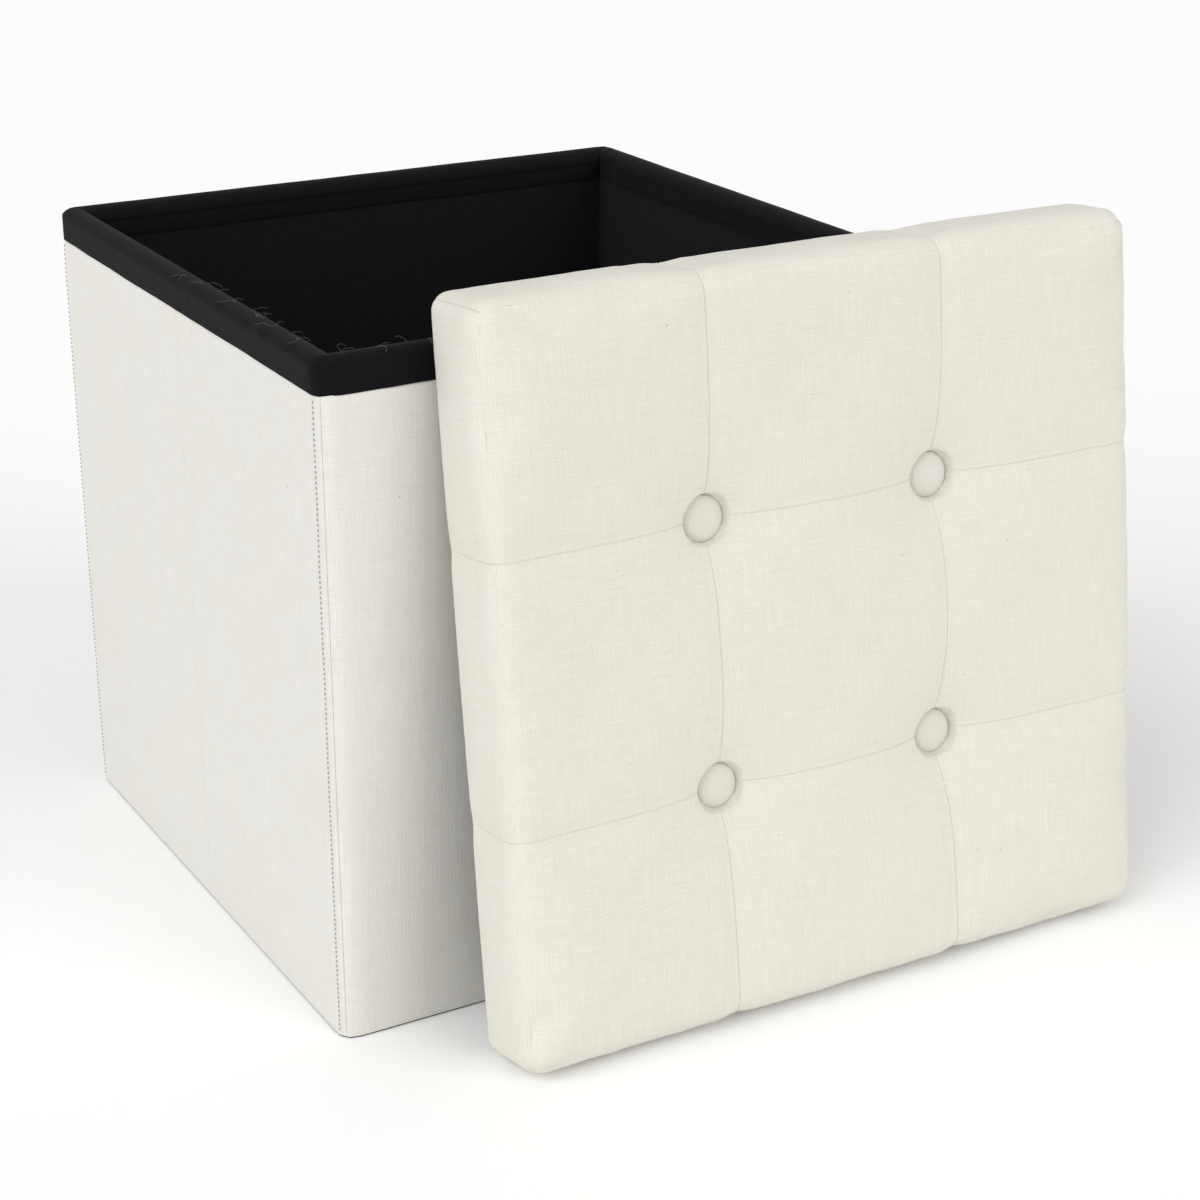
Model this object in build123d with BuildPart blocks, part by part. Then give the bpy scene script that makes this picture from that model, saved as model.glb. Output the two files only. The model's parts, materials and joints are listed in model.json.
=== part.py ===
from build123d import *
import os
from math import cos, radians, sin, sqrt

# A cube storage ottoman with a fold-flat box and a loose cushion lid, in millimetres.
# The origin is the centre of the box's underside. Z is up and the front is towards -Y.
# The front and rear walls are rigid. Each side wall is two leaves that fold inwards
# along an upright crease. The lid stands on the floor and leans on the front rim.

# ---- Box ----
box_width = 360.0
box_depth = 360.0
box_height = 356.0
cloth_thick = 1.0
padding_thick = 6.0
board_thick = 6.0
wall_thick = 2 * cloth_thick + padding_thick + board_thick

# ---- Rim: a rounded black binding over the top of every wall ----
rim_height = 17.0
rim_cord_radius = 3.0
rim_cord_play = 0.3
rim_grip = 5.7
sewn_gap = 0.1

# ---- Base panel, which lifts on the front wall to let the box fold ----
base_board_thick = 2.0
base_cloth_thick = 0.4
base_panel_thick = base_board_thick + 2 * base_cloth_thick
base_panel_gap = 0.5
base_turn_gap = 0.4
base_cloth_overlap = 2.0

# ---- Fold ----
fold_gap = 0.3
crease_gap = 0.4
raised_panel_room = 1.3
hem_side_gap = 1.0

# ---- Lid ----
lid_size = 382.0
lid_thick = 48.0
lid_corner_radius = 20.0
lid_edge_radius = 11.0
lid_cloth_thick = 1.2
lid_board_thick = 5.0
lid_board_inset = 5.0
lid_return_width = 25.0
dust_cloth_thick = 0.8
dust_cloth_inset = 12.0
lid_rim_gap = 0.3
lid_lean = 7.1
lid_shift = 68.5
lid_floor_gap = 0.2

# ---- Buttons, twine and staples of the lid. The two on the right are tied a little inwards ----
button_spacing = 137.0
button_pull_upper = 2.5
button_pull_lower = 4.5
button_radius = 12.0
button_edge = 2.0
button_dome = 3.2
button_tin_thick = 1.0
button_sunk = 18.0
button_back_thick = 1.0
button_shank_radius = 2.5
button_shank_length = 5.0
well_gap = 0.3
twine_radius = 0.6
twine_gap = 0.15
board_hole_radius = 1.5
washer_radius = 8.0
washer_thick = 1.0
knot_radius = 1.6
knot_thick = 0.6
staple_width = 10.0
staple_wire = 0.5
staple_leg = 3.0
staple_gap = 0.1
staples_per_side = 8
staple_pitch = 42.0

# ---- Places worked out from the sizes above ----
half_width = box_width / 2
half_depth = box_depth / 2
inner_x = half_width - wall_thick
inner_y = half_depth - wall_thick
wall_bottom = base_panel_thick + fold_gap
rim_bottom = box_height - rim_height
rim_radius = wall_thick / 2
rim_axis_z = box_height - rim_radius
rim_axis_y = half_depth - rim_radius
core_top = rim_bottom + rim_grip
corner_axis_y = inner_y - base_panel_thick - raised_panel_room
corner_face_y = corner_axis_y + fold_gap
leaf_start_y = corner_axis_y - fold_gap
leaf_end_y = fold_gap
base_half_x = inner_x - base_panel_gap
base_half_y = inner_y - base_panel_gap
hem_inner_x = base_half_x + hem_side_gap
lid_lean_sin = sin(radians(lid_lean))
lid_lean_cos = cos(radians(lid_lean))
lid_touch_y = -rim_axis_y - (rim_radius + lid_rim_gap) * lid_lean_cos
lid_touch_z = rim_axis_z + (rim_radius + lid_rim_gap) * lid_lean_sin
lid_foot_run = (lid_touch_z - lid_floor_gap) / lid_lean_cos
lid_centre_run = lid_size / 2 - lid_foot_run
lid_plane = Plane(
    origin=(
        lid_shift,
        lid_touch_y + lid_centre_run * lid_lean_sin,
        lid_touch_z + lid_centre_run * lid_lean_cos,
    ),
    x_dir=(1, 0, 0),
    z_dir=(0, -lid_lean_cos, lid_lean_sin),
)
lid_axis = Axis(lid_plane.origin, lid_plane.z_dir)
return_low = dust_cloth_thick + staple_wire
lid_board_low = return_low + lid_cloth_thick
lid_foam_low = lid_board_low + lid_board_thick
lid_inside_top = lid_thick - lid_cloth_thick
button_seat = lid_thick - button_sunk
shank_low = button_seat - button_shank_length
button_reach = button_spacing / 2
button_places = [
    (-button_reach, -button_reach),
    (-button_reach, button_reach),
    (button_reach - button_pull_lower, -button_reach),
    (button_reach - button_pull_upper, button_reach),
]


def save(piece, name):
    """Label a finished piece and write its file."""
    piece.label = name
    export_step(piece, f"parts/{name}.step")


# ---- Walls of the box ----
def slab(x_range, y_range, z_range):
    """A rectangular sheet, board or pad between two limits on each axis."""
    x_low, x_high = sorted(x_range)
    y_low, y_high = sorted(y_range)
    with BuildPart() as sheet:
        with BuildSketch(Plane.XY.offset(z_range[0])):
            with Locations(((x_low + x_high) / 2, (y_low + y_high) / 2)):
                Rectangle(x_high - x_low, y_high - y_low)
        extrude(amount=z_range[1] - z_range[0])
    return sheet.part


def rim_section(plane):
    """The binding's section: flat sides and a half-round top, hollow for the core and the cord."""
    with BuildSketch(plane) as section:
        with Locations((0, (rim_bottom + rim_axis_z) / 2)):
            Rectangle(wall_thick, rim_axis_z - rim_bottom)
        with Locations((0, rim_axis_z)):
            Circle(rim_radius)
        with Locations((0, rim_bottom + (rim_grip + fold_gap) / 2)):
            Rectangle(
                padding_thick + board_thick + 2 * sewn_gap,
                rim_grip + fold_gap,
                mode=Mode.SUBTRACT,
            )
        with Locations((0, rim_axis_z)):
            Circle(rim_cord_radius + rim_cord_play, mode=Mode.SUBTRACT)
    return section.sketch


def rim_block(plane):
    """The binding's outer section with no hollow, for the short turns at the corners."""
    with BuildSketch(plane) as section:
        with Locations((0, (rim_bottom + rim_axis_z) / 2)):
            Rectangle(wall_thick, rim_axis_z - rim_bottom)
        with Locations((0, rim_axis_z)):
            Circle(rim_radius)
    return section.sketch


def make_rigid_wall(name, end):
    """The front wall (end = -1) or the rear wall (end = 1), as wide as the box."""
    outer = end * half_depth
    padding_out = outer - end * cloth_thick
    board_out = padding_out - end * padding_thick
    board_in = board_out - end * board_thick
    inner = end * inner_y
    core_x = (-half_width + cloth_thick, half_width - cloth_thick)
    board = slab(core_x, (board_out, board_in), (wall_bottom, core_top))
    save(board, f"{name}_board")
    padding = slab(core_x, (padding_out, board_out), (wall_bottom, core_top))
    save(padding, f"{name}_padding")
    lining = slab(core_x, (board_in, inner), (wall_bottom, rim_bottom))
    save(lining, f"{name}_lining")

    with BuildPart() as linen:
        with BuildSketch(Plane.XY.offset(wall_bottom)):
            with Locations((0, outer - end * cloth_thick / 2)):
                Rectangle(box_width, cloth_thick)
            wrap = half_depth - corner_face_y
            for side in (-1, 1):
                with Locations((side * (half_width - cloth_thick / 2), outer - end * wrap / 2)):
                    Rectangle(cloth_thick, wrap)
        extrude(amount=rim_bottom - wall_bottom)
    save(linen.part, f"{name}_linen")

    with BuildPart() as seams:
        with BuildSketch(Plane.XY.offset(wall_bottom)):
            for side in (-1, 1):
                middle_x = side * (half_width - cloth_thick + inner_x) / 2
                with Locations((middle_x, end * (inner_y + corner_face_y) / 2)):
                    Rectangle(wall_thick - cloth_thick, inner_y - corner_face_y)
        extrude(amount=rim_bottom - wall_bottom)
    save(seams.part, f"{name}_corner_seams")

    rim_plane = Plane(origin=(0, end * rim_axis_y, 0), x_dir=(0, 1, 0), z_dir=(1, 0, 0))
    with BuildPart() as rim:
        extrude(rim_section(rim_plane), amount=half_width, both=True)
        for side in (-1, 1):
            turn_plane = Plane(
                origin=(side * (half_width - rim_radius), end * inner_y, 0),
                x_dir=(end, 0, 0),
                z_dir=(0, -end, 0),
            )
            extrude(rim_block(turn_plane), amount=inner_y - corner_face_y)
    save(rim.part, f"{name}_rim")

    cord_plane = Plane(origin=(0, end * rim_axis_y, rim_axis_z), z_dir=(1, 0, 0))
    with BuildPart() as cord:
        with BuildSketch(cord_plane):
            Circle(rim_cord_radius)
        extrude(amount=half_width - cloth_thick, both=True)
    save(cord.part, f"{name}_rim_cord")


def make_leaf(name, side, end):
    """Half of a side wall, from the corner joint to the upright crease."""
    outer = side * half_width
    padding_out = outer - side * cloth_thick
    board_out = padding_out - side * padding_thick
    board_in = board_out - side * board_thick
    inner = side * inner_x
    span = (end * leaf_start_y, end * leaf_end_y)
    save(slab((outer, padding_out), span, (wall_bottom, rim_bottom)), f"{name}_linen")
    save(slab((padding_out, board_out), span, (wall_bottom, core_top)), f"{name}_padding")
    save(slab((board_out, board_in), span, (wall_bottom, core_top)), f"{name}_board")
    save(slab((board_in, inner), span, (wall_bottom, rim_bottom)), f"{name}_lining")

    run_plane = Plane(
        origin=(side * (half_width - rim_radius), end * leaf_end_y, 0),
        x_dir=(-end, 0, 0),
        z_dir=(0, end, 0),
    )
    run = leaf_start_y - leaf_end_y
    with BuildPart() as rim:
        extrude(rim_section(run_plane), amount=run)
    save(rim.part, f"{name}_rim")

    with BuildPart() as cord:
        with BuildSketch(run_plane):
            with Locations((0, rim_axis_z)):
                Circle(rim_cord_radius)
        extrude(amount=run)
    save(cord.part, f"{name}_rim_cord")


def make_hems():
    """The black hems on which the rigid walls stand. The rear one leaves room for the base panel."""
    front = slab((-half_width, half_width), (-half_depth, -inner_y), (0, wall_bottom))
    save(front, "front_hem")
    with BuildPart() as rear:
        with BuildSketch(Plane.XY):
            for side in (-1, 1):
                middle = (side * (half_width + hem_inner_x) / 2, (half_depth + corner_face_y) / 2)
                with Locations(middle):
                    Rectangle(half_width - hem_inner_x, half_depth - corner_face_y)
        extrude(amount=wall_bottom)
    save(rear.part, "rear_hem")


def make_base_panel():
    """The base board between its black lining and the black underside cloth."""
    board_x = base_half_x - base_cloth_overlap
    front_y = -inner_y + base_turn_gap
    rear_y = base_half_y
    board_y = (front_y + base_cloth_overlap, rear_y - base_cloth_overlap)
    board_top = base_cloth_thick + base_board_thick
    cloth_x = (-base_half_x, base_half_x)
    cloth_y = (front_y, rear_y)
    save(slab(cloth_x, cloth_y, (0, base_cloth_thick)), "base_underside_cloth")
    save(slab((-board_x, board_x), board_y, (base_cloth_thick, board_top)), "base_board")
    save(slab(cloth_x, cloth_y, (board_top, base_panel_thick)), "base_lining")


# ---- Lid ----
def lid_block(size, corner_radius, low, high):
    """A square block of the lid with rounded corners, between two heights above its underside."""
    with BuildPart() as block:
        with BuildSketch(lid_plane.offset(low)):
            RectangleRounded(size, size, corner_radius)
        extrude(amount=high - low)
    return block.part


def lid_soft_block(size, corner_radius, edge_radius, low, high):
    """The same block with its upper edges rounded over."""
    with BuildPart() as block:
        with BuildSketch(lid_plane.offset(low)):
            RectangleRounded(size, size, corner_radius)
        extrude(amount=high - low)
        upper = block.faces().sort_by(lid_axis)[-1]
        fillet(upper.edges(), edge_radius)
    return block.part


def discs(places, radius, low, high):
    """A round block at each place, between two heights above the lid's underside."""
    with BuildPart() as block:
        with BuildSketch(lid_plane.offset(low)):
            with Locations(*places):
                Circle(radius)
        extrude(amount=high - low)
    return block.part


def staple_blocks(gap):
    """Staples along the four turned edges of the cover, or their slots when gap is above 0."""
    inset = lid_size / 2 - lid_return_width / 2
    first = -(staples_per_side - 1) / 2
    wire = staple_wire + 2 * gap
    crown_low = return_low - staple_wire
    with BuildPart() as block:
        for turned in (False, True):
            for edge in (-inset, inset):
                for number in range(staples_per_side):
                    along = (first + number) * staple_pitch
                    middle = (edge, along) if turned else (along, edge)
                    length = staple_width + 2 * gap
                    size = (wire, length) if turned else (length, wire)
                    with BuildSketch(lid_plane.offset(crown_low)):
                        with Locations(middle):
                            Rectangle(*size)
                    extrude(amount=staple_wire)
                    for end in (-1, 1):
                        reach = end * (staple_width - staple_wire) / 2
                        leg = (edge, along + reach) if turned else (along + reach, edge)
                        with BuildSketch(lid_plane.offset(return_low)):
                            with Locations(leg):
                                Rectangle(wire, wire)
                        extrude(amount=staple_leg + gap)
    return block.part


def make_lid():
    """The lid: board, foam, linen cover, dust cloth and staples."""
    inside = lid_size - 2 * lid_cloth_thick
    inside_corner = lid_corner_radius - lid_cloth_thick
    inside_edge = lid_edge_radius - lid_cloth_thick
    foam = lid_soft_block(inside, inside_corner, inside_edge, lid_foam_low, lid_inside_top)
    cover = lid_soft_block(lid_size, lid_corner_radius, lid_edge_radius, return_low, lid_thick)
    cavity = lid_soft_block(inside, inside_corner, inside_edge, lid_board_low, lid_inside_top)
    mouth = lid_block(lid_size - 2 * lid_return_width, lid_corner_radius, return_low, lid_board_low)
    board_size = inside - 2 * lid_board_inset
    board = lid_block(board_size, inside_corner, lid_board_low, lid_foam_low)
    wells = discs(button_places, button_radius + well_gap, button_seat, lid_thick)
    shank_wells = discs(button_places, button_shank_radius + well_gap, shank_low, button_seat)
    twine_holes = discs(button_places, twine_radius + twine_gap, lid_foam_low, shank_low)
    board_holes = discs(button_places, board_hole_radius, lid_board_low, lid_foam_low)
    staple_slots = staple_blocks(staple_gap)

    with BuildPart() as lid_foam:
        add(foam)
        add([wells, shank_wells, twine_holes], mode=Mode.SUBTRACT)
    save(lid_foam.part, "lid_foam")

    with BuildPart() as lid_cover:
        add(cover)
        add([cavity, mouth, wells, staple_slots], mode=Mode.SUBTRACT)
    save(lid_cover.part, "lid_cover")

    with BuildPart() as lid_board:
        add(board)
        add([board_holes, staple_slots], mode=Mode.SUBTRACT)
    save(lid_board.part, "lid_board")

    save(staple_blocks(0), "lid_staples")
    dust_cloth_size = lid_size - 2 * dust_cloth_inset
    save(lid_block(dust_cloth_size, lid_corner_radius, 0, dust_cloth_thick), "lid_dust_cloth")


def make_buttons():
    """Domed linen-covered buttons, each pulled down by twine tied under the lid's board."""
    back_top = button_seat + button_back_thick
    with BuildPart() as caps:
        for place in button_places:
            centre = lid_plane.from_local_coords(Vector(*place, 0))
            section_plane = Plane(origin=centre, x_dir=(1, 0, 0), z_dir=-lid_plane.y_dir)
            with BuildSketch(section_plane):
                with BuildLine():
                    edge_top = button_seat + button_edge
                    top = edge_top + button_dome
                    middle = (button_radius / 2, edge_top + button_dome * 3 / 4)
                    ThreePointArc((0, top), middle, (button_radius, edge_top))
                    Line((button_radius, edge_top), (button_radius, button_seat))
                    Line((button_radius, button_seat), (0, button_seat))
                    Line((0, button_seat), (0, top))
                make_face()
            revolve(axis=Axis(centre, lid_plane.z_dir))
        inner_radius = button_radius - button_tin_thick
        hollow = discs(button_places, inner_radius, button_seat, button_seat + button_edge)
        add(hollow, mode=Mode.SUBTRACT)
    save(caps.part, "button_caps")

    shank_bore = twine_radius + twine_gap
    with BuildPart() as backs:
        add(discs(button_places, button_radius - button_tin_thick, button_seat, back_top))
        add(discs(button_places, button_shank_radius, shank_low, button_seat))
        add(discs(button_places, shank_bore, shank_low, back_top), mode=Mode.SUBTRACT)
    save(backs.part, "button_backs")

    washer_low = lid_board_low - washer_thick
    knot_low = washer_low - knot_thick
    with BuildPart() as twine:
        add(discs(button_places, twine_radius, washer_low, back_top))
        add(discs(button_places, knot_radius, knot_low, washer_low))
        add(discs(button_places, knot_radius, back_top, back_top + knot_thick))
    save(twine.part, "button_twine")

    washers = discs(button_places, washer_radius, washer_low, lid_board_low)
    holes = discs(button_places, shank_bore, washer_low, lid_board_low)
    with BuildPart() as twine_washers:
        add(washers)
        add(holes, mode=Mode.SUBTRACT)
    save(twine_washers.part, "twine_washers")


def print_moves():
    """Print the joint places, ranges and ratios that the record states."""
    travel = half_depth - rim_radius - lid_centre_run
    print(f"corner joints x +-{inner_x:.3f} y +-{corner_axis_y:.3f}")
    print(f"crease joints x +-{half_width + crease_gap:.3f} y 0")
    print(f"base panel joint y {-inner_y + base_turn_gap:.3f} z {base_panel_thick:.3f}")
    print(f"lid turn joint y {-rim_axis_y:.3f} z {rim_axis_z:.3f} range 0 to {90 - lid_lean:.3f}")
    print(f"lid slide across {-lid_shift:.3f} along {travel:.3f} length {sqrt(travel**2 + lid_shift**2):.3f}")
    along = (-lid_shift, travel * lid_lean_sin, travel * lid_lean_cos)
    length = sqrt(travel**2 + lid_shift**2)
    print("lid slide axis", [round(value / length, 6) for value in along])


os.makedirs("parts", exist_ok=True)
make_rigid_wall("front", -1)
make_rigid_wall("rear", 1)
make_leaf("left_front", -1, -1)
make_leaf("left_rear", -1, 1)
make_leaf("right_front", 1, -1)
make_leaf("right_rear", 1, 1)
make_hems()
make_base_panel()
make_lid()
make_buttons()
print_moves()
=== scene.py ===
import json
from math import cos, exp, hypot, pi, radians, sin, sqrt

import bmesh
import bpy
from mathutils import Matrix, Vector, noise
from mathutils.bvhtree import BVHTree


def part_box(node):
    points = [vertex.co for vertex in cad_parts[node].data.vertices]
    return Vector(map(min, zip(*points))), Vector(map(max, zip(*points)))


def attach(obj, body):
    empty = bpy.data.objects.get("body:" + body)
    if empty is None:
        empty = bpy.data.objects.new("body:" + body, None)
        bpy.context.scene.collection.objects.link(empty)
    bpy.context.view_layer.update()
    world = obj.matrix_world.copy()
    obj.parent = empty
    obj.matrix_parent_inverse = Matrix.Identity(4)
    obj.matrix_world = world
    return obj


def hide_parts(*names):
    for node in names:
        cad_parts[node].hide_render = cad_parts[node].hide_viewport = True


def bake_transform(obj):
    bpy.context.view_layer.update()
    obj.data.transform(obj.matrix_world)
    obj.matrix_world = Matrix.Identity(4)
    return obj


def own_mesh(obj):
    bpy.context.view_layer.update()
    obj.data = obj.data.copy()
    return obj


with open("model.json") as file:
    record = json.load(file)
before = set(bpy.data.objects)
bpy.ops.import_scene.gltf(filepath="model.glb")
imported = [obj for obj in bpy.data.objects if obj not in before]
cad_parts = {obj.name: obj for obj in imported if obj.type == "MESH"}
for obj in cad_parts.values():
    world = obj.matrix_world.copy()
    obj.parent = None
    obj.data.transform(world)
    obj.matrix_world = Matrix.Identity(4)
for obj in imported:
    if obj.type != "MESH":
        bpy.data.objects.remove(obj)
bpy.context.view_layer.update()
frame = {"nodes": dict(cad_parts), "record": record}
MM = 0.001


# ---------------------------------------------------------------- frame
def node_box(name):
    """The lowest and highest corners of a CAD node, as vectors."""
    low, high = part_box(name)
    return Vector(low), Vector(high)


def joint(name):
    """The record's own entry for a joint."""
    return next(j for j in frame["record"]["behaviour"]["joints"] if j["name"] == name)


front_low, front_high = node_box("front_linen")
rear_high = node_box("rear_linen")[1]
rim_high = node_box("front_rim")[1]
board_low = node_box("front_board")[0]
lining_high = node_box("front_lining")[1]
base_low, base_high = node_box("base_lining")

HALF_X = front_high.x
HALF_Y = rear_high.y
WALL_LOW = front_low.z
WALL_TOP = front_high.z
RIM_TOP = rim_high.z
WALL_THICK = HALF_Y + lining_high.y
PAD_THICK = HALF_Y + board_low.y
CORNER_JOINT = abs(joint("box_fold")["pos_m"][1])
JOINT_GAP = 0.3 * MM

LID_LEAN = radians(90 - joint("lid_turn")["range_deg"][1])
LID_OUT = Vector((0, -cos(LID_LEAN), sin(LID_LEAN)))
LID_UP = Vector((0, sin(LID_LEAN), cos(LID_LEAN)))
dust_low, dust_high = node_box("lid_dust_cloth")
cover_low, cover_high = node_box("lid_cover")
cap_low, cap_high = node_box("button_caps")
LID_HALF = (cover_high.x - cover_low.x) / 2
DUST_HALF = (dust_high.x - dust_low.x) / 2
DUST_THICK = (dust_high.y - dust_low.y - 2 * DUST_HALF * sin(LID_LEAN)) / cos(LID_LEAN)
LID_THICK = 48 * MM
LID_ORIGIN = (dust_low + dust_high) / 2 - LID_OUT * DUST_THICK / 2
LID_FRAME = Matrix.Translation(LID_ORIGIN) @ Matrix(
    ((1, 0, 0, 0), (0, LID_UP.y, LID_OUT.y, 0), (0, LID_UP.z, LID_OUT.z, 0), (0, 0, 0, 1))
)
BUTTON_RADIUS = 12 * MM
BUTTON_SEAT = (LID_FRAME.inverted() @ ((cap_low + cap_high) / 2)).z - 2.6 * MM
BUTTON_REACH = (LID_FRAME.translation.x - cap_low.x) - BUTTON_RADIUS


# ---------------------------------------------------------------- nodes
class Graph:
    """Short calls that add shader nodes to a material and link them."""

    def __init__(self, name):
        self.material = bpy.data.materials.new(name)
        self.material.use_nodes = True
        self.tree = self.material.node_tree
        self.tree.nodes.clear()
        self.output = self.tree.nodes.new("ShaderNodeOutputMaterial")
        self.shader = self.tree.nodes.new("ShaderNodeBsdfPrincipled")
        self.tree.links.new(self.shader.outputs[0], self.output.inputs["Surface"])

    def put(self, socket, value):
        if isinstance(value, bpy.types.NodeSocket):
            self.tree.links.new(value, socket)
        else:
            socket.default_value = value

    def node(self, kind, sockets, output=0, operation=None, data_type=None):
        """Adds a node, fills or links its sockets, and returns one of its outputs."""
        node = self.tree.nodes.new(kind)
        if operation:
            node.operation = operation
        if data_type:
            node.data_type = data_type
        for socket, value in sockets.items():
            self.put(node.inputs[socket], value)
        return node.outputs[output]

    def math(self, operation, *values):
        return self.node("ShaderNodeMath", dict(enumerate(values)), operation=operation)

    def times(self, first, second):
        return self.math("MULTIPLY", first, second)

    def plus(self, first, second):
        return self.math("ADD", first, second)

    def wave(self, value):
        """The size of a value's sine, from 0 to 1."""
        return self.math("ABSOLUTE", self.math("SINE", value))

    def surface(self, colour, roughness, normal):
        """Fills the shader's three varied sockets and returns the material."""
        for name, value in (("Base Color", colour), ("Roughness", roughness), ("Normal", normal)):
            self.put(self.shader.inputs[name], value)
        return self.material

    def vector(self, x, y, z=0.0):
        return self.node("ShaderNodeCombineXYZ", {0: x, 1: y, 2: z})

    def parts(self, vector):
        return self.node("ShaderNodeSeparateXYZ", {0: vector}).node.outputs

    def rotated(self, vector, angles):
        return self.node("ShaderNodeMapping", {"Rotation": angles, "Vector": vector})

    def noise(self, vector, scale=1.0, detail=2.0, roughness=0.5):
        sockets = {"Scale": scale, "Detail": detail, "Roughness": roughness, "Vector": vector}
        return self.node("ShaderNodeTexNoise", sockets)

    def cells(self, vector, scale=1.0):
        return self.node("ShaderNodeTexVoronoi", {"Scale": scale, "Vector": vector}, "Distance")

    def span(self, value, low, high, to_low=0.0, to_high=1.0):
        sockets = {"From Min": low, "From Max": high, "To Min": to_low, "To Max": to_high, "Value": value}
        return self.node("ShaderNodeMapRange", sockets)

    def mix(self, factor, first, second):
        return self.node("ShaderNodeMix", {0: factor, 6: first, 7: second}, 2, data_type="RGBA")

    def choose(self, factor, first, second):
        return self.node("ShaderNodeMix", {0: factor, 2: first, 3: second}, data_type="FLOAT")

    def bump(self, height, distance, strength=1.0, under=None):
        sockets = {"Strength": strength, "Distance": distance, "Height": height}
        if under is not None:
            sockets["Normal"] = under
        return self.node("ShaderNodeBump", sockets)

    def place(self):
        return self.node("ShaderNodeTexCoord", {}, "Object")

    def facing(self):
        return self.node("ShaderNodeTexCoord", {}, "Normal")


def cloth_axes(graph, lean=0.0):
    """Two coordinates in the cloth's own plane, whichever way the surface faces."""
    place = graph.rotated(graph.place(), (lean, 0, 0))
    facing = graph.rotated(graph.facing(), (lean, 0, 0))
    x, y, z = graph.parts(place)
    nx, ny, nz = [graph.math("ABSOLUTE", part) for part in graph.parts(facing)]
    faces_x = graph.math("GREATER_THAN", nx, graph.math("MAXIMUM", ny, nz))
    faces_z = graph.math("GREATER_THAN", nz, graph.math("MAXIMUM", nx, ny))
    return graph.choose(faces_x, x, y), graph.choose(faces_z, z, y)


def weave(graph, across, along, pitch):
    """Height of a plain weave, 0 to 1, with threads of the given pitch that wander a little."""
    wander = graph.noise(graph.vector(across, along), 55.0, 2.0)
    shift = graph.times(graph.math("SUBTRACT", wander, 0.5), pitch * 2.4)
    u = graph.times(graph.plus(across, shift), pi / pitch)
    v = graph.times(graph.plus(along, shift), pi / pitch)
    swap = graph.times(graph.math("SINE", u), graph.math("SINE", v))
    warp, weft = graph.wave(u), graph.wave(v)
    warp = graph.times(warp, graph.span(swap, -1, 1, 0.55, 1.0))
    weft = graph.times(weft, graph.span(swap, -1, 1, 1.0, 0.55))
    return graph.math("MAXIMUM", warp, weft)


def linen(name, colour, lean=0.0, pitch=0.78 * MM, streak=1.0):
    """Cream plain-woven cloth with uneven threads, slubs and a few dark flecks."""
    graph = Graph(name)
    across, along = cloth_axes(graph, lean)
    cloth = graph.vector(across, along)
    threads = weave(graph, across, along, pitch)
    warp_tone = graph.noise(graph.vector(graph.times(across, 34.0), along), 42.0, 3.0, 0.6)
    weft_tone = graph.noise(graph.vector(across, graph.times(along, 34.0)), 42.0, 3.0, 0.6)
    tone = graph.plus(warp_tone, weft_tone)
    cloud = graph.noise(cloth, 14.0, 4.0, 0.6)
    fleck_field = graph.cells(cloth, 95.0)
    fleck_pick = graph.noise(cloth, 61.0, 1.0)
    fleck = graph.times(
        graph.span(fleck_field, 0.035, 0.075, 1.0, 0.0),
        graph.span(fleck_pick, 0.60, 0.64),
    )
    slub = graph.span(
        graph.noise(graph.vector(graph.times(across, 22.0), along), 30.0, 1.0), 0.70, 0.80
    )
    deep = tuple(value * 0.68 for value in colour[:3]) + (1,)
    warm = (colour[0] * 0.93, colour[1] * 0.89, colour[2] * 0.78, 1)
    pale = tuple(min(1.0, value * 1.05) for value in colour[:3]) + (1,)
    shade = graph.mix(graph.span(threads, 0.15, 0.95), deep, colour)
    shade = graph.mix(graph.span(tone, 0.75, 1.25, 0.0, 0.55 * streak), shade, pale)
    shade = graph.mix(graph.span(tone, 1.0, 0.72, 0.0, 0.45 * streak), shade, warm)
    shade = graph.mix(graph.span(cloud, 0.45, 0.75, 0.0, 0.25), shade, warm)
    shade = graph.mix(graph.times(slub, 0.22), shade, warm)
    shade = graph.mix(graph.times(fleck, 0.55), shade, (0.30, 0.25, 0.18, 1))
    graph.shader.inputs["Sheen Weight"].default_value = 0.12
    graph.shader.inputs["Sheen Roughness"].default_value = 0.5
    graph.shader.inputs["Specular IOR Level"].default_value = 0.2
    soft = graph.bump(graph.plus(tone, slub), 0.12 * MM, 0.6)
    return graph.surface(
        shade,
        graph.span(threads, 0, 1, 0.96, 0.84),
        graph.bump(threads, 0.16 * MM, 0.75, soft),
    )


def black_cloth(name, colour, rib=0.0, pitch=0.6 * MM, fuzz=0.25):
    """Black cloth: a fine weave or a faint diagonal rib, with a little lint."""
    graph = Graph(name)
    across, along = cloth_axes(graph)
    threads = weave(graph, across, along, pitch)
    diagonal = graph.times(graph.plus(across, along), pi / (1.6 * MM))
    twill = graph.wave(diagonal)
    height = graph.choose(rib, threads, twill)
    mottle = graph.noise(graph.vector(across, along), 160.0, 4.0, 0.7)
    lint = graph.span(
        graph.noise(graph.vector(graph.times(across, 5.0), along), 210.0, 3.0, 0.7), 0.70, 0.78
    )
    bright = tuple(value * 2.3 for value in colour[:3]) + (1,)
    shade = graph.mix(graph.times(height, mottle), colour, bright)
    shade = graph.mix(graph.times(lint, 0.30), shade, (0.11, 0.11, 0.12, 1))
    graph.shader.inputs["Sheen Weight"].default_value = fuzz
    graph.shader.inputs["Sheen Roughness"].default_value = 0.45
    graph.shader.inputs["Specular IOR Level"].default_value = 0.10
    soft = graph.bump(mottle, 0.25 * MM, 0.6)
    return graph.surface(
        shade,
        graph.span(mottle, 0.3, 0.7, 0.95, 0.82),
        graph.bump(height, 0.14 * MM, 0.8, soft),
    )


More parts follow.
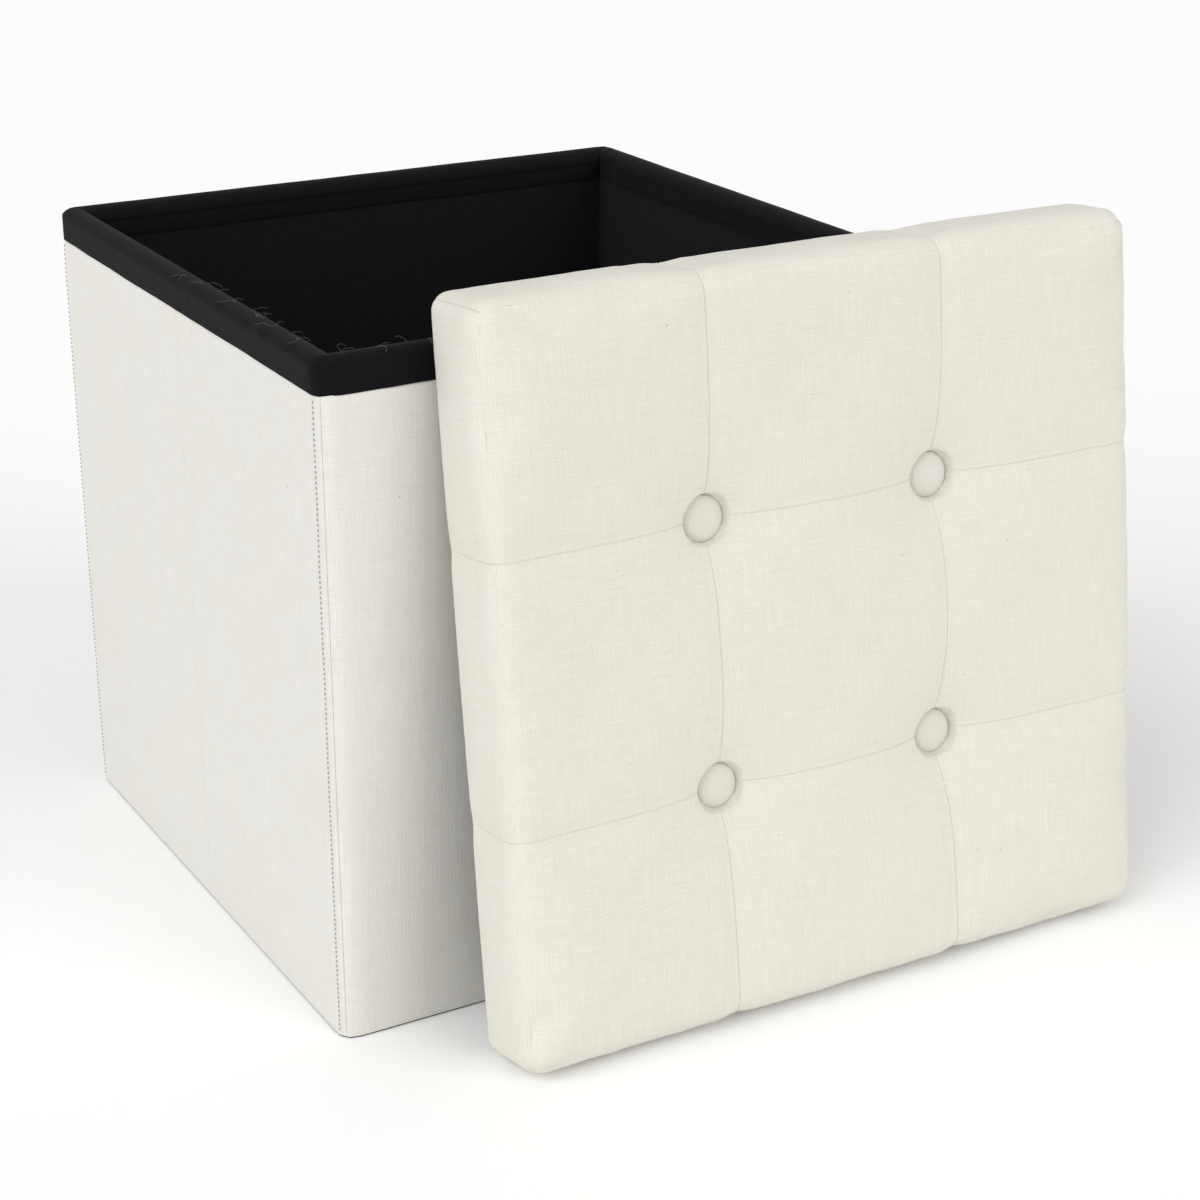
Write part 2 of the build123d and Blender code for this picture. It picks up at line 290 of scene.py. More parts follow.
def fibreboard(name):
    """Raw brown fibreboard: short pressed fibres with darker specks."""
    graph = Graph(name)
    place = graph.place()
    fibre = graph.noise(place, 420.0, 6.0, 0.75)
    cloud = graph.noise(place, 26.0, 3.0)
    shade = graph.mix(fibre, (0.20, 0.125, 0.065, 1), (0.47, 0.34, 0.21, 1))
    shade = graph.mix(graph.span(cloud, 0.4, 0.8, 0.0, 0.4), shade, (0.33, 0.22, 0.13, 1))
    return graph.surface(shade, graph.span(fibre, 0.3, 0.7, 0.9, 0.7), graph.bump(fibre, 0.2 * MM, 0.5))


def thread(name, colour, lay=1.1 * MM):
    """Twisted thread or cord: diagonal plies and stray fibres."""
    graph = Graph(name)
    x, y, z = graph.parts(graph.place())
    twist = graph.plus(graph.plus(x, y), z)
    ply = graph.wave(graph.times(twist, pi / lay))
    fibre = graph.noise(graph.place(), 900.0, 3.0, 0.7)
    deep = tuple(value * 0.6 for value in colour[:3]) + (1,)
    graph.shader.inputs["Sheen Weight"].default_value = 0.2
    return graph.surface(
        graph.mix(graph.span(ply, 0.1, 0.7), deep, colour),
        graph.span(fibre, 0.3, 0.7, 0.9, 0.75),
        graph.bump(ply, 0.15 * MM, 0.7),
    )


def steel(name):
    """Thin zinc-coated steel with dull spots."""
    graph = Graph(name)
    spots = graph.noise(graph.place(), 700.0, 4.0, 0.7)
    shade = graph.mix(spots, (0.46, 0.46, 0.47, 1), (0.68, 0.68, 0.69, 1))
    graph.shader.inputs["Metallic"].default_value = 1.0
    return graph.surface(shade, graph.span(spots, 0.3, 0.7, 0.28, 0.5), graph.bump(spots, 0.04 * MM, 0.4))


def moulded(name, colour):
    """Plain moulded plastic with a faint grain."""
    graph = Graph(name)
    grain = graph.noise(graph.place(), 1100.0, 3.0, 0.6)
    dull = tuple(value * 0.92 for value in colour[:3]) + (1,)
    return graph.surface(
        graph.mix(grain, dull, colour),
        graph.span(grain, 0.3, 0.7, 0.5, 0.38),
        graph.bump(grain, 0.03 * MM, 0.4),
    )


WALL_LINEN = linen("wall_linen", (0.752, 0.742, 0.705, 1))
LID_LINEN = linen("lid_linen", (0.745, 0.730, 0.664, 1), lean=LID_LEAN - pi / 2)
BUTTON_LINEN = linen(
    "button_linen", (0.740, 0.724, 0.668, 1), lean=LID_LEAN - pi / 2, pitch=0.6 * MM, streak=0.5
)
STITCH_THREAD = thread("stitch_thread", (0.42, 0.39, 0.33, 1))
BINDING = black_cloth("black_binding", (0.0030, 0.0030, 0.0040, 1), pitch=0.75 * MM, fuzz=0.04)
LINING = black_cloth("black_lining", (0.0052, 0.0052, 0.0060, 1), rib=1.0, fuzz=0.05)
HEM = black_cloth("black_hem", (0.010, 0.010, 0.011, 1), rib=1.0, fuzz=0.05)
BOARD = fibreboard("fibreboard")
TWINE = thread("waxed_twine", (0.62, 0.55, 0.42, 1), lay=0.7 * MM)
STEEL = steel("zinc_steel")
PLASTIC = moulded("washer_plastic", (0.80, 0.80, 0.78, 1))


# ---------------------------------------------------------------- mesh helpers
def make_piece(name, points, faces, material, body, replaced=()):
    """A mesh piece that rides on a body and stands for the CAD nodes named in replaced."""
    mesh = bpy.data.meshes.new(name)
    mesh.from_pydata([tuple(p) for p in points], [], faces)
    mesh.update()
    tidy = bmesh.new()
    tidy.from_mesh(mesh)
    bmesh.ops.remove_doubles(tidy, verts=tidy.verts, dist=1e-6)
    bmesh.ops.recalc_face_normals(tidy, faces=tidy.faces)
    tidy.to_mesh(mesh)
    tidy.free()
    mesh.polygons.foreach_set("use_smooth", [True] * len(mesh.polygons))
    mesh.set_sharp_from_angle(angle=radians(55))
    mesh.materials.append(material)
    piece = bpy.data.objects.new(name, mesh)
    bpy.context.scene.collection.objects.link(piece)
    if body:
        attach(piece, body)
    if replaced:
        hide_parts(*replaced)
    return piece


def ring_faces(base, rings, sides):
    """The faces between rings of points that follow one another from base."""
    faces = []
    for ring in range(rings - 1):
        for turn in range(sides):
            a, b = base + ring * sides + turn, base + ring * sides + (turn + 1) % sides
            faces.append((a, b, b + sides, a + sides))
    return faces


def tube_faces(base, rings, sides):
    """The faces of a closed tube whose points start at base, ring by ring."""
    last = base + (rings - 1) * sides
    caps = [tuple(range(base, base + sides)), tuple(range(last + sides - 1, last - 1, -1))]
    return ring_faces(base, rings, sides) + caps


def joined(upper, lower):
    """The faces between two rings, each given as the numbers of its points."""
    faces = []
    for k in range(len(upper)):
        m = (k + 1) % len(upper)
        faces.append((upper[k], lower[k], lower[m], upper[m]))
    return faces


class Loop:
    """A rounded rectangle in plan, run anticlockwise from the middle of its left side."""

    def __init__(self, half_x, half_y, radius):
        self.half_x, self.half_y, self.radius = half_x, half_y, radius
        self.arc = pi * radius / 2
        side, front = half_y - radius, 2 * (half_x - radius)
        self.runs = (side, self.arc, front, self.arc, 2 * side, self.arc, front, self.arc, side)
        self.length = sum(self.runs)
        self.front_left = side + self.arc / 2
        self.front_right = side + self.arc * 1.5 + front
        self.right_crease = side + self.arc * 2 + front + side
        self.rear_right = self.right_crease + side + self.arc / 2
        self.rear_left = self.rear_right + front + self.arc

    def at(self, s):
        """The point and the outward normal at a distance along the loop."""
        s = s % self.length
        x, y, r = self.half_x, self.half_y, self.radius
        corners = ((-x + r, -y + r), (x - r, -y + r), (x - r, y - r), (-x + r, y - r))
        starts = ((-x, 0), (-x + r, -y), (x, -y + r), (x - r, y), (-x, y - r))
        ways = ((0, -1), (1, 0), (0, 1), (-1, 0), (0, -1))
        for index, run in enumerate(self.runs):
            if s <= run or index == len(self.runs) - 1:
                break
            s -= run
        if index % 2 == 0:
            way, start = ways[index // 2], starts[index // 2]
            return Vector((start[0] + way[0] * s, start[1] + way[1] * s)), Vector((way[1], -way[0]))
        centre = corners[index // 2]
        angle = pi + (index // 2) * pi / 2 + s / r
        out = Vector((cos(angle), sin(angle)))
        return Vector(centre) + out * r, out

    def on_right(self, y):
        """The distance along the loop to the point of its right side at that y."""
        return self.right_crease + y


def spread(low, high, step, extra=()):
    """Values from low to high about a step apart, with extra ones kept."""
    count = max(1, round((high - low) / step))
    values = {low + (high - low) * i / count for i in range(count + 1)}
    values |= {value for value in extra if low < value < high}
    return sorted(values)


def edge_lines(low, high, size):
    """Extra grid lines close to both ends, so that a rounded edge stays round."""
    near = [size * share for share in (0.12, 0.3, 0.6, 1.0, 1.6)]
    return [low + value for value in near] + [high - value for value in near]


def swept(loop, start, end, section, step, lines=()):
    """Points and faces of a section swept along part of a loop, closed at both ends.
    section(s) gives the section's closed outline there, as (outward, height) pairs.
    What lies inside the loop is mitred at the corners."""
    points, faces, rings = [], [], []
    for s in spread(start, end, step, lines):
        place, out = loop.at(s)
        ring = []
        for offset, height in section(s):
            ring.append(len(points))
            x, y = place.x + out.x * offset, place.y + out.y * offset
            if offset < 0:
                x = max(-loop.half_x - offset, min(loop.half_x + offset, x))
                y = max(-loop.half_y - offset, min(loop.half_y + offset, y))
            points.append((x, y, height))
        rings.append(ring)
    for a, b in zip(rings, rings[1:]):
        for i in range(len(a)):
            j = (i + 1) % len(a)
            faces.append((a[i], a[j], b[j], b[i]))
    faces.append(tuple(rings[0]))
    faces.append(tuple(reversed(rings[-1])))
    return points, faces


def rounding(distance, radius):
    """How far a rounded edge has dropped at a distance from its end."""
    if distance >= radius:
        return 0.0
    reach = 1 - max(distance, 0.0) / radius
    return radius * (1 - sqrt(max(0.0, 1 - reach * reach)))


def smooth(value, low, high):
    """0 below low, 1 above high, with an even rise between."""
    share = min(1.0, max(0.0, (value - low) / (high - low)))
    return share * share * (3 - 2 * share)


def ripple(x, y, z, size, depth):
    """A slow, seeded unevenness, as of padding under cloth."""
    return depth * noise.noise(Vector((x / size, y / size, z / size + 7.3)))


# ---------------------------------------------------------------- box: linen
CORNER_RADIUS = 8.5 * MM
OUTSIDE = Loop(HALF_X, HALF_Y, CORNER_RADIUS)


LINEN_TOP = WALL_TOP + 0.6 * MM
LINEN_TUCK = 4 * MM
LEAF_ROOM = 0.3 * MM
WALL_ROOM = 3 * MM


def wall_relief(place, z, swell, room):
    """How far the padded linen stands out from the flat wall at a height, by no more than its room.
    The leaves have little room, because folded leaves lie face to face."""
    level = (z - WALL_LOW) / (LINEN_TOP - WALL_LOW)
    puff = swell * max(0.0, 1 - (2 * level - 1) ** 4)
    uneven = ripple(place.x, place.y, z, 60 * MM, 0.5 * MM) * (4 * level * (1 - level))
    return min(room, puff + uneven + ripple(place.x, place.y, z, 17 * MM, 0.12 * MM))


def wall_panel(name, start, end, body, replaced, ends=(0.6 * MM, 0.6 * MM), crown=1.3 * MM,
               room=LEAF_ROOM):
    """A padded linen panel over part of the box's outside, closed against its board."""
    foot, head = WALL_LOW, LINEN_TOP
    heights = spread(foot, head, 7 * MM, edge_lines(foot, head, LINEN_TUCK))
    middle, half = (start + end) / 2, (end - start) / 2

    def section(s):
        place, out = OUTSIDE.at(s)
        drop = max(rounding(s - start, ends[0]), rounding(end - s, ends[1]))
        swell = crown * max(0.0, 1 - ((s - middle) / half) ** 2) ** 0.6
        outer = []
        for z in heights:
            edge = max(drop, rounding(z - foot, 0.2 * MM), rounding(head - z, LINEN_TUCK))
            outer.append((wall_relief(place, z, swell, room) - edge, z))
        inside = -PAD_THICK
        return outer + [(inside, head), (inside, (foot + head) / 2), (inside, foot)]

    lines = edge_lines(start, end, max(ends[0], ends[1], 1 * MM))
    points, faces = swept(OUTSIDE, start, end, section, 6 * MM, lines)
    piece = make_piece(name, points, faces, WALL_LINEN, body, replaced)
    return piece


SEAM_END = 0.4 * MM
CREASE_SLIT = 0.05 * MM


def leaf_nodes(side, end):
    """The CAD nodes of a leaf's outside."""
    name = f"{side}_{end}"
    return (f"{name}_linen", f"{name}_padding")


def make_outside():
    """Linen panels: one on each rigid wall and one on each leaf, carried round to the corner seam."""
    at = OUTSIDE
    wall_panel("linen_front", at.front_left, at.front_right, "front_wall",
               ("front_linen", "front_padding", "front_corner_seams"), (SEAM_END, SEAM_END), room=WALL_ROOM)
    wall_panel("linen_rear", at.rear_right, at.rear_left, "rear_wall",
               ("rear_linen", "rear_padding", "rear_corner_seams"), (SEAM_END, SEAM_END), room=WALL_ROOM)
    panel = wall_panel("linen_left_front", CREASE_SLIT, at.front_left, None, leaf_nodes("left", "front"),
                       (0.6 * MM, SEAM_END))
    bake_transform(panel)
    panel = wall_panel("linen_right_front", at.front_right, at.right_crease - CREASE_SLIT, None,
                       leaf_nodes("right", "front"), (SEAM_END, 0.6 * MM))
    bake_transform(panel)
    panel = wall_panel("linen_left_rear", at.rear_left, at.length - CREASE_SLIT, None,
                       leaf_nodes("left", "rear"), (SEAM_END, 0.6 * MM))
    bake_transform(panel)
    split = at.on_right(CORNER_JOINT)
    wall_panel("linen_right_rear", at.right_crease + CREASE_SLIT, split - JOINT_GAP, "right_rear_leaf",
               leaf_nodes("right", "rear"))
    wall_panel("linen_rear_turn", split + JOINT_GAP, at.rear_right, "rear_wall", (),
               (0.4 * MM, SEAM_END), crown=0.2 * MM)


make_outside()


# ---------------------------------------------------------------- box: stitching
def stitches(name, places, way, out, length, radius, material, body):
    """A row of short sewn stitches: small spindles half sunk in the cloth."""
    points, faces = [], []
    across = way.cross(out).normalized()
    for place in places:
        base = len(points)
        for share, size in ((-0.5, 0.25), (-0.3, 0.85), (0, 1.0), (0.3, 0.85), (0.5, 0.25)):
            for turn in range(6):
                angle = turn * pi / 3
                ring = across * cos(angle) + out * sin(angle)
                points.append(place + way * (share * length) + ring * radius * size)
        faces += tube_faces(base, 5, 6)
    piece = make_piece(name, points, faces, material, body)


def make_corner_stitches():
    """One row of stitches beside each upright corner seam."""
    rows = (
        ("front_left", OUTSIDE.front_left, "front_wall", 0.4 * MM),
        ("front_right", OUTSIDE.front_right, "front_wall", 0.4 * MM),
        ("rear_right", OUTSIDE.rear_right, "rear_wall", 0.2 * MM),
        ("rear_left", OUTSIDE.rear_left, "rear_wall", 0.4 * MM),
    )
    pitch = 2.6 * MM
    offset = 4.2 * MM
    count = int((WALL_TOP - WALL_LOW) / pitch) - 1
    for name, corner, body, swell in rows:
        toward = -offset if corner in (OUTSIDE.front_left, OUTSIDE.rear_right) else offset
        place, out = OUTSIDE.at(corner + toward)
        out3 = Vector((out.x, out.y, 0))
        places = []
        for number in range(count):
            z = WALL_LOW + (number + 0.5) * pitch
            sway = 0.25 * MM * noise.noise(Vector((z * 30, corner, 2.1)))
            proud = out3 * (wall_relief(place, z, swell, LEAF_ROOM) + 0.05 * MM)
            side = Vector((-out.y, out.x, 0)) * sway
            places.append(Vector((place.x, place.y, z)) + proud + side)
        stitches(f"stitches_{name}", places, Vector((0, 0, 1)), out3, 1.5 * MM, 0.32 * MM,
                 STITCH_THREAD, body)


make_corner_stitches()


# ---------------------------------------------------------------- box: rim
RIM_PROUD = 0.9 * MM
RIM_LIMIT = WALL_THICK / 2 + 0.05 * MM
RIM_INNER_ROOM = 2 * MM
RIM_MIDDLE = Loop(HALF_X - WALL_THICK / 2, HALF_Y - WALL_THICK / 2, CORNER_RADIUS - WALL_THICK / 2)


def lid_press(place):
    """How far the leaning lid presses the front binding in at a place."""
    if place.y > -HALF_Y + WALL_THICK:
        return 0.0
    left = LID_ORIGIN.x - LID_HALF
    return 1.25 * MM * smooth(place.x, left - 6 * MM, left + 6 * MM)


def rim_inner_limit(place):
    """How far the binding may stand inwards. By the open corner its ends pass each other, so it is flush."""
    away = hypot(place.x - HALF_X + WALL_THICK / 2, place.y - CORNER_JOINT)
    return WALL_THICK / 2 + RIM_INNER_ROOM * smooth(away, 9 * MM, 24 * MM)


def rim_outline(s, drop):
    """The padded binding's outline: straight flanks, a rounded top and a soft lower edge."""
    place, out = RIM_MIDDLE.at(s)
    half = WALL_THICK / 2 + RIM_PROUD
    foot, top = WALL_TOP - 0.9 * MM, RIM_TOP - 0.1 * MM
    press = lid_press(place)
    swell = ripple(place.x, place.y, 3.0, 24 * MM, 0.5 * MM)
    swell += ripple(place.x, place.y, 1.0, 7 * MM, 0.16 * MM)
    sag = ripple(place.x, place.y, 9.0, 45 * MM, 0.5 * MM) + ripple(place.x, place.y, 5.0, 9 * MM, 0.2 * MM)
    outline = []
    for side in (1, -1):
        flank = []
        push = press if side == 1 else 0.0
        limit = RIM_LIMIT if side == 1 else rim_inner_limit(place)
        for share in (0.0, 0.05, 0.14, 0.3, 0.5, 0.7, 0.86, 0.95):
            level = foot + (top - half - foot) * share + sag * (1 - share)
            bulge = 0.45 * MM * sin(pi * min(1.0, share + 0.12))
            dent = 0.28 * MM * exp(-(((share - 0.22) / 0.07) ** 2))
            tuck = 0.25 * MM if share == 0.0 else 0.06 * MM if share == 0.05 else 0.0
            across = half + bulge + swell * 0.6 - tuck - dent - push - drop
            flank.append((side * min(across, limit), level))
        for turn in range(8):
            angle = turn * pi / 16
            reach = half + (0.35 * MM + swell * 0.6) * cos(angle) - push * cos(angle)
            level = top - half + half * sin(angle) - (0.6 * drop if turn else 0.0)
            across = min((reach - drop) * cos(angle), limit)
            flank.append((side * across, level + 0.3 * swell * sin(angle)))
        outline += flank if side == 1 else [(0.0, top - 0.6 * drop + 0.3 * swell), *reversed(flank)]
    return outline


def rim_piece(name, start, end, body, replaced, soft_start=True, soft_end=True):
    """A stretch of binding. A soft end is rounded over, and the others run on into the next stretch."""
    lines = edge_lines(start, end, 0.6 * MM) if soft_start or soft_end else ()

    def section(s):
        drop = 0.0
        if soft_start:
            drop = rounding(s - start, 0.45 * MM)
        if soft_end:
            drop = max(drop, rounding(end - s, 0.45 * MM))
        return rim_outline(s, drop)

    points, faces = swept(RIM_MIDDLE, start, end, section, 3.5 * MM, lines)
    piece = make_piece(name, points, faces, BINDING, body, replaced)
    return piece


def make_rims():
    """The binding, in stretches that meet at the corners, at the creases and at the open corner."""
    at = RIM_MIDDLE
    slit = 0.04 * MM
    open_corner = at.on_right(CORNER_JOINT)
    rim_piece("rim_front", at.front_left, at.front_right, "front_wall", ("front_rim", "front_rim_cord"),
              False, False)
    rim_piece("rim_rear", open_corner + JOINT_GAP, at.rear_left, "rear_wall",
              ("rear_rim", "rear_rim_cord"), True, False)
    rim_piece("rim_right_rear", at.right_crease + slit, open_corner - JOINT_GAP, "right_rear_leaf",
              ("right_rear_rim", "right_rear_rim_cord"))
    blended = (
        ("left_front", slit, at.front_left, "front_wall", "left_front_leaf", -1, -1),
        ("right_front", at.front_right, at.right_crease - slit, "front_wall", "right_front_leaf", 1, -1),
        ("left_rear", at.rear_left, at.length - slit, "rear_wall", "left_rear_leaf", -1, 1),
    )
    for name, start, end, wall, leaf, side, y_way in blended:
        piece = rim_piece(f"rim_{name}", start, end, None, (f"{name}_rim", f"{name}_rim_cord"),
                          name == "left_front", name != "left_front")
        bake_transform(piece)


make_rims()


# ---------------------------------------------------------------- box: lining and hems
INSIDE = Loop(HALF_X - WALL_THICK, HALF_Y - WALL_THICK, 0.5 * MM)


def lining_piece(name, start, end, body, replaced):
    """Black lining over part of the box's inside, from the base to under the binding."""
    foot, head = WALL_LOW, WALL_TOP + 2 * MM
    heights = spread(foot, head, 9 * MM)

    def section(s):
        place, _ = INSIDE.at(s)
        inner = []
        for z in heights:
            level = (z - foot) / (head - foot)
            slack = ripple(place.x, place.y, z, 55 * MM, 0.5 * MM) * (4 * level * (1 - level))
            inner.append((max(slack, 0.1 * MM), z))
        back = 0.9 * MM
        return [(back, head), (back, foot)] + inner

    corners = (INSIDE.front_left, INSIDE.front_right, INSIDE.rear_right, INSIDE.rear_left)
    lines = [corner + turn * MM for corner in corners for turn in (-0.4, -0.2, 0.0, 0.2, 0.4)]
    points, faces = swept(INSIDE, start, end, section, 8 * MM, lines)
    piece = make_piece(name, points, faces, LINING, body, replaced)


def make_linings():
    at, gap, slit = INSIDE, JOINT_GAP, 0.1 * MM
    joint_y = CORNER_JOINT
    stretches = (
        ("front", joint_y + gap, at.front_right + at.front_left - joint_y - gap, "front_wall"),
        ("rear", at.on_right(joint_y) + gap, at.length - joint_y - gap, "rear_wall"),
        ("left_front", slit, joint_y - gap, "left_front_leaf"),
        ("left_rear", at.length - joint_y + gap, at.length - slit, "left_rear_leaf"),
        ("right_front", at.on_right(-joint_y) + gap, at.right_crease - slit, "right_front_leaf"),
        ("right_rear", at.right_crease + slit, at.on_right(joint_y) - gap, "right_rear_leaf"),
    )
    for name, start, end, body in stretches:
        lining_piece(f"lining_{name}", start, end, body, (f"{name}_lining",))


make_linings()


# ---------------------------------------------------------------- box: foot
FOOT_LOW = 0.9 * MM
HEM_LOW = 0.1 * MM


def foot_strip(name, start, end, low, high, material, body, replaced=(), squashed=True):
    """A low strip of cloth under a wall. On a folding wall it gets a mesh of its own."""
    depth = 5 * MM

    def section(s):
        place, _ = OUTSIDE.at(s)
        uneven = ripple(place.x, place.y, low, 17 * MM, 0.12 * MM) - 0.15 * MM
        tuck = 0.5 * MM if material is HEM else 0.0
        outer = [(uneven - tuck, z) for z in spread(low, high, 0.8 * MM)]
        return outer + [(-depth, high), (-depth, low)]

    points, faces = swept(OUTSIDE, start, end, section, 6 * MM)
    piece = make_piece(name, points, faces, material, body, replaced)
    if squashed:
        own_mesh(piece)


def make_feet():
    """The cloth's lowest edge round the box, with the black hem that just shows under it."""
    at = OUTSIDE
    joint_s = CORNER_JOINT
    stretches = (
        ("front", joint_s, at.front_left + at.front_right - joint_s, "front_wall", ("front_hem",)),
        ("rear", at.on_right(joint_s), at.length - joint_s, "rear_wall", ("rear_hem",)),
        ("left_front", CREASE_SLIT, joint_s, "left_front_leaf", ()),
        ("left_rear", at.length - joint_s, at.length - CREASE_SLIT, "left_rear_leaf", ()),
        ("right_front", at.on_right(-joint_s), at.right_crease - CREASE_SLIT, "right_front_leaf", ()),
        ("right_rear", at.right_crease + CREASE_SLIT, at.on_right(joint_s), "right_rear_leaf", ()),
    )
    for name, start, end, body, replaced in stretches:
        folds = body != "front_wall"
        head = WALL_LOW + 0.2 * MM
        foot_strip(f"foot_{name}", start, end, FOOT_LOW, head, WALL_LINEN, body, (), folds)
        foot_strip(f"hem_{name}", start, end, HEM_LOW, FOOT_LOW, HEM, body, replaced, folds)


make_feet()


# ---------------------------------------------------------------- box: base panel
BASE_WAVE = 50 * MM
BASE_EDGE = 20 * MM
FLOOR_CLEAR = 0.15 * MM


def base_sheet(name, low, high, upper, replaced):
    """One soft cloth face of the base panel, a little uneven on the side that shows."""
    half_x = base_high.x - 0.3 * MM
    front, rear = base_low.y, base_high.y
    xs, ys = spread(-half_x, half_x, 9 * MM), spread(front, rear, 9 * MM)
    points, faces = [], []
    for layer in (0, 1):
        for x in xs:
            for y in ys:
                z = high if layer else low
                if bool(layer) == upper:
                    sag = 0.25 * MM * noise.noise(Vector((x / BASE_WAVE, y / BASE_WAVE, 3.3)))
                    edge = min(half_x - abs(x), rear - y, y - front)
                    z += (min(sag, 0.05 * MM) if upper else max(sag, 0.0)) * min(1.0, edge / BASE_EDGE)
                    z += 0.0 if upper else FLOOR_CLEAR
                points.append((x, y, z))
    wide = len(ys)
    layer_size = len(xs) * wide
    for i in range(len(xs) - 1):
        for j in range(wide - 1):
            a = i * wide + j
            faces.append((a, a + wide, a + wide + 1, a + 1))
            b = a + layer_size
            faces.append((b, b + 1, b + wide + 1, b + wide))
    rim = [i * wide for i in range(len(xs))]
    rim += [(len(xs) - 1) * wide + j for j in range(1, wide)]
    rim += [i * wide + wide - 1 for i in reversed(range(len(xs) - 1))]
    rim += [j for j in reversed(range(1, wide - 1))]
    for a, b in zip(rim, rim[1:] + rim[:1]):
        faces.append((a, b, b + layer_size, a + layer_size))
    piece = make_piece(name, points, faces, LINING if upper else HEM, "base_panel", replaced)


def make_base():
    under_low, under_high = node_box("base_underside_cloth")
    base_sheet("base_floor", base_low.z, base_high.z, True, ("base_lining",))
    base_sheet("base_underside", under_low.z, under_high.z, False, ("base_underside_cloth",))


make_base()


# ---------------------------------------------------------------- lid: form
RETURN_LOW = 1.3 * MM
RETURN_THICK = 1.2 * MM
RETURN_WIDE = 25 * MM
SEAM_AT = BUTTON_REACH
DIMPLE = 10.8 * MM
LID_HIGH = LID_THICK - 0.6 * MM
DIMPLE_SPREAD = 20 * MM
WELL = 4.8 * MM
PANEL_CROWN = 2.4 * MM
SIDE_PUFF = 2.1 * MM
LID_WAVE = 45 * MM
NO_SEAM = 9.0
SEAM_OFFSETS = (0.3, 0.6, 0.95, 1.4, 2.2, 3.4, 5.0, 7.0, 9.0, 10.2, 11.0, 11.8, 12.6, 13.4, 14.6, 16.5, 19.0)
EDGE_OFFSETS = (0.25, 0.7, 1.5, 2.6, 4.0, 5.6, 7.4, 9.4, 11.6)


def button_place(across, along):
    """A button's place on the face. The two on the right were pulled in a little to the left."""
    pull = 0.0
    if across > 0:
        pull = -2.5 * MM if along > 0 else -4.5 * MM
    return Vector((across * SEAM_AT + pull, along * SEAM_AT))


BUTTONS = {(across, along): button_place(across, along) for across in (-1, 1) for along in (-1, 1)}


def warped(x, y):
    """Cloth moves sideways with the buttons that were pulled off the grid."""
    shift = 0.0
    for (across, along), place in BUTTONS.items():
        away = hypot(x - across * SEAM_AT, y - along * SEAM_AT)
        shift += (place.x - across * SEAM_AT) * exp(-((away / (40 * MM)) ** 2))
    return x + shift


def cell_swell(t, half):
    """How full a panel stands at t: 0 at its seams and edges, 1 in its middle."""
    if abs(t) <= SEAM_AT:
        share = t / SEAM_AT
    else:
        share = (2 * abs(t) - SEAM_AT - half) / (half - SEAM_AT)
    return 1 - abs(share) ** 2.4


def seam_gap(t):
    return abs(abs(t) - SEAM_AT)


def groove(gap, wide, deep):
    return deep * exp(-((gap / wide) ** 2))


def dimple(x, y):
    """How far the face is drawn in by the buttons at a place on the flat pattern."""
    depth = 0.0
    for across in (-1, 1):
        for along in (-1, 1):
            away = hypot(x - across * SEAM_AT, y - along * SEAM_AT)
            past = max(0.0, away - BUTTON_RADIUS * 0.95)
            depth += DIMPLE * exp(-past / DIMPLE_SPREAD)
            depth += WELL * (1 - smooth(away, BUTTON_RADIUS * 0.96, BUTTON_RADIUS * 1.11))
    return depth


